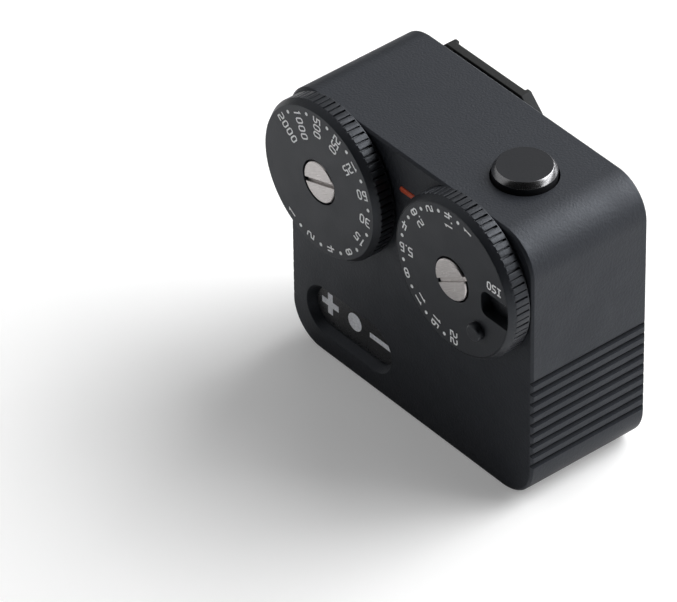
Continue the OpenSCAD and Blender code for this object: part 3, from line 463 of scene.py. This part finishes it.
def outline_of(points, closed, s):
    """Left and right edges of a stroke s wide, with mitred corners and square ends."""
    pts = [Vector(p) for p in points]
    if not closed:
        pts[0] = pts[0] + (pts[0] - pts[1]).normalized() * s / 2
        pts[-1] = pts[-1] + (pts[-1] - pts[-2]).normalized() * s / 2
    left, right = [], []
    for i, p in enumerate(pts):
        before = pts[i] - pts[i - 1] if i or closed else pts[1] - pts[0]
        after = pts[(i + 1) % len(pts)] - pts[i] if i < len(pts) - 1 or closed else before
        a, b = before.normalized(), after.normalized()
        bend = (a + b).normalized()
        side = Vector((-bend.y, bend.x)) * (s / 2) / max(0.3, bend.dot(a))
        left.append(p + side)
        right.append(p - side)
    return left, right


def direction(degrees):
    return Vector((math.cos(math.radians(degrees)), math.sin(math.radians(degrees))))


def advance(char, cell):
    return (POINT_W if char == "." else cell.w) + cell.stroke + cell.gap


def label_length(label, cell):
    return sum(advance(char, cell) for char in label) - cell.gap


class Print:
    """Collects strokes and dots on a face that looks along -Y, in mm from an axis."""

    def __init__(self, axis, y):
        self.axis, self.y = axis, y
        self.verts, self.faces = [], []

    def put(self, point, lift):
        self.verts.append((self.axis.x + point.x * MM, self.y - lift * MM,
                           self.axis.z + point.y * MM))
        return len(self.verts) - 1

    def prism(self, ring):
        top = [self.put(p, PAINT) for p in ring]
        low = [self.put(p, -PAINT) for p in ring]
        n = len(ring)
        self.faces.append(top)
        self.faces.append(low[::-1])
        self.faces.extend([(top[i], low[i], low[(i + 1) % n], top[(i + 1) % n]) for i in range(n)])

    def band(self, left, right):
        """A closed loop of stroke, as one ring-shaped prism."""
        rows = [[self.put(p, z) for p in edge] for edge, z in
                ((left, PAINT), (right, PAINT), (right, -PAINT), (left, -PAINT))]
        n = len(left)
        for k in range(4):
            a, b = rows[k], rows[(k + 1) % 4]
            self.faces.extend([(a[i], b[i], b[(i + 1) % n], a[(i + 1) % n]) for i in range(n)])

    def dot(self, centre):
        sides = 16
        self.prism([centre + DOT_R * direction(360 / sides * i) for i in range(sides)])

    def text(self, label, start, along, up, cell):
        """Writes label from start, in the direction along, its foot line through start."""
        s = cell.stroke
        at = 0.0
        for char in label:
            for points, closed in glyph(char, cell.w, cell.h, s):
                placed = [start + along * (at + s / 2 + p[0]) + up * (s / 2 + p[1]) for p in points]
                left, right = outline_of(placed, closed, s)
                if closed:
                    self.band(left, right)
                else:
                    self.prism(left + right[::-1])
            at += advance(char, cell)

    def piece(self, name, body):
        data = bpy.data.meshes.new(name)
        data.from_pydata(self.verts, [], self.faces)
        mesh = bmesh.new()
        mesh.from_mesh(data)
        bmesh.ops.recalc_face_normals(mesh, faces=mesh.faces)
        mesh.to_mesh(data)
        mesh.free()
        data.materials.append(number_paint)
        obj = bpy.data.objects.new(name, data)
        bpy.context.scene.collection.objects.link(obj)
        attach(obj, body)


# Directions are in degrees from +X towards +Z, and distances in mm from the dial's axis
OUTER_END = 9.4
DIGITS_TALL = DIAL_DIGITS.h + DIAL_DIGITS.stroke

# Direction of the first number, angle between two numbers, distance of the dots
SHUTTER_SPEEDS = ["2000", "1000", "500", "250", "125", "60", "30", "15", "8", "4", "2", "1"]
SHUTTER_FIRST, SHUTTER_STEP, SHUTTER_DOTS = 139.3, 24.0, 9.15
APERTURES = ["1", "1.4", "2", "2.8", "4", "5.6", "8", "11", "16", "22"]
APERTURE_FIRST, APERTURE_STEP, APERTURE_DOTS = 72.0, 22.25, 9.0
ISO_START = (8.72, 3.62)

# Place in the list of the film speed that shows at rest, distance of the numbers' middle,
# offset of their foot from the window's middle, and gap between the plate and its floor
FILM_SPEEDS = ["12", "25", "50", "100", "200", "400", "800", "1600"]
SPEED_AT_REST, SPEED_MIDDLE, SPEED_FOOT, PLATE_GAP = 3, 7.75, 0.74, 0.05


def shutter_numbers():
    """Speeds read from the rim inwards, with a dot for each half step."""
    ink = Print(shutter_axis, dial_face_y)
    for i, label in enumerate(SHUTTER_SPEEDS):
        out = direction(SHUTTER_FIRST - SHUTTER_STEP * i)
        up = Vector((out.y, -out.x))
        ink.text(label, out * OUTER_END - up * DIGITS_TALL / 2, -out, up, DIAL_DIGITS)
        if i < len(SHUTTER_SPEEDS) - 1:
            ink.dot(direction(SHUTTER_FIRST - SHUTTER_STEP * (i + 0.5)) * SHUTTER_DOTS)
    ink.piece("shutter_numbers", "shutter_dial_body")


def aperture_numbers():
    """Apertures read from the centre outwards to the rim, with a dot for each half step."""
    ink = Print(aperture_axis, plate_face_y)
    for i, label in enumerate(APERTURES):
        out = direction(APERTURE_FIRST + APERTURE_STEP * i)
        up = Vector((-out.y, out.x))
        inner_end = OUTER_END - label_length(label, DIAL_DIGITS)
        ink.text(label, out * inner_end - up * DIGITS_TALL / 2, out, up, DIAL_DIGITS)
        if i < len(APERTURES) - 1:
            ink.dot(direction(APERTURE_FIRST + APERTURE_STEP * (i + 0.5)) * APERTURE_DOTS)
    ink.text("ISO", Vector(ISO_START), Vector((-1, 0)), Vector((0, -1)), ISO_LETTERS)
    ink.piece("aperture_numbers", "film_speed_plate")


def film_speed_numbers():
    """Film speeds on the aperture dial's floor, which come up one by one in the plate's window.

    They lie beside the window's middle, where the photograph's slanting view doesn't reach them.
    """
    floor_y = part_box("iso_scale_plate")[1].y + PLATE_GAP * MM
    ink = Print(aperture_axis, floor_y)
    for i, label in enumerate(FILM_SPEEDS):
        out = direction(APERTURE_STEP * (SPEED_AT_REST - i))
        up = Vector((out.y, -out.x))
        outer_end = SPEED_MIDDLE + label_length(label, WINDOW_DIGITS) / 2
        ink.text(label, out * outer_end - up * SPEED_FOOT, -out, up, WINDOW_DIGITS)
    ink.piece("film_speed_numbers", "aperture_dial_body")


shutter_numbers()
aperture_numbers()
film_speed_numbers()


# Camera: the photograph's long lens, seen from the right, above and in front

# Azimuth from the front towards the right, elevation and roll, in degrees
VIEW = (50.807, 38.584, -0.855)
# The point looked at, the distance from it, the focal length and the sensor's width, in mm
AIM = (-24.713, 0.45, -2.204)
DISTANCE = 870.78
LENS, SENSOR = 377.80, 36


def camera_axes():
    a, e, r = (math.radians(v) for v in VIEW)
    back = Vector((math.sin(a) * math.cos(e), -math.cos(a) * math.cos(e), math.sin(e)))
    right = Vector((math.cos(a), math.sin(a), 0))
    up = back.cross(right)
    return math.cos(r) * right + math.sin(r) * up, math.cos(r) * up - math.sin(r) * right, back


def make_camera():
    right, up, back = camera_axes()
    data = bpy.data.cameras.new("camera")
    data.lens = LENS
    data.sensor_width = SENSOR
    data.clip_start = 0.05
    data.clip_end = 20
    cam = bpy.data.objects.new("camera", data)
    turn = Matrix((right, up, back)).transposed()
    place = Vector(AIM) * MM + DISTANCE * MM * back
    cam.matrix_world = Matrix.Translation(place) @ turn.to_4x4()
    bpy.context.scene.collection.objects.link(cam)
    bpy.context.scene.camera = cam


make_camera()


# Floor, sky and lamps

FLOOR_HALF = 4.0
FLOOR_COLOUR = (0.86, 0.86, 0.86)
# Light in the floor that only the camera sees, on top of the lamps' own
FLOOR_GLOW = 0.185
# Light from all round, and the white that stands behind the object
SKY = 0.01
BACKGROUND = 1.0
WHITE = (1, 1, 1, 1)
# The point that the lamps look at
LAMP_AIM = (0, 0, 20 * MM)
# Place, width and height in metres, and power in watts
LAMPS = {
    "back_top": ((0.10, 0.35, 0.60), (0.35, 0.35), 1.17),
    "back_key": ((0.15, 0.50, 0.40), (0.4, 0.4), 1.11),
    "back_side": ((0.30, 0.40, 0.45), (0.4, 0.4), 2.30),
    "back_right": ((0.45, 0.35, 0.35), (0.4, 0.4), 0.40),
    "low_strip": ((0.42, 0.50, 0.19), (0.9, 0.08), 0.9),
    "back_centre": ((-0.05, 0.55, 0.35), (0.4, 0.4), 2.43),
    "above": ((0.0, 0.20, 0.75), (0.5, 0.5), 0.34),
    "left_back": ((-0.40, 0.40, 0.40), (0.4, 0.4), 0.53),
    "left_front": ((-0.45, -0.30, 0.45), (1.0, 1.0), 1.5),
}


def make_floor():
    mesh = bpy.data.meshes.new("floor")
    corners = [(x * FLOOR_HALF, y * FLOOR_HALF, 0) for x, y in ((-1, -1), (1, -1), (1, 1), (-1, 1))]
    mesh.from_pydata(corners, [], [(0, 1, 2, 3)])
    floor = bpy.data.objects.new("floor", mesh)
    bpy.context.scene.collection.objects.link(floor)
    floor.location.z = housing_low.z
    mat, tree, shader = new_material("floor_pale", FLOOR_COLOUR, 0.9, 0.0, 0.1)
    shader.inputs["Emission Color"].default_value = WHITE
    path = tree.nodes.new("ShaderNodeLightPath")
    glow = tree.nodes.new("ShaderNodeMath")
    glow.operation = "MULTIPLY"
    glow.inputs[1].default_value = FLOOR_GLOW
    tree.links.new(path.outputs["Is Camera Ray"], glow.inputs[0])
    tree.links.new(glow.outputs["Value"], shader.inputs["Emission Strength"])
    mesh.materials.append(mat)


def make_world():
    world = bpy.data.worlds.new("studio")
    bpy.context.scene.world = world
    world.use_nodes = True
    tree = world.node_tree
    tree.nodes.clear()
    out = tree.nodes.new("ShaderNodeOutputWorld")
    mix = tree.nodes.new("ShaderNodeMixShader")
    for strength, socket in ((SKY, mix.inputs[1]), (BACKGROUND, mix.inputs[2])):
        white = tree.nodes.new("ShaderNodeBackground")
        white.inputs["Color"].default_value = WHITE
        white.inputs["Strength"].default_value = strength
        tree.links.new(white.outputs["Background"], socket)
    rays = tree.nodes.new("ShaderNodeLightPath").outputs
    seen = combine(tree, "MAXIMUM", rays["Is Camera Ray"], rays["Is Transmission Ray"])
    tree.links.new(seen, mix.inputs["Fac"])
    tree.links.new(mix.outputs["Shader"], out.inputs["Surface"])


def add_lamp(name, place, size, watts):
    data = bpy.data.lights.new(name, "AREA")
    data.shape = "RECTANGLE"
    data.size, data.size_y = size
    data.energy = watts
    lamp = bpy.data.objects.new(name, data)
    lamp.location = place
    lamp.rotation_mode = "QUATERNION"
    lamp.rotation_quaternion = (Vector(LAMP_AIM) - Vector(place)).to_track_quat("-Z", "Y")
    bpy.context.scene.collection.objects.link(lamp)


make_floor()
make_world()
for name, (place, size, watts) in LAMPS.items():
    add_lamp(name, place, size, watts)

bpy.context.scene.view_settings.view_transform = "Standard"
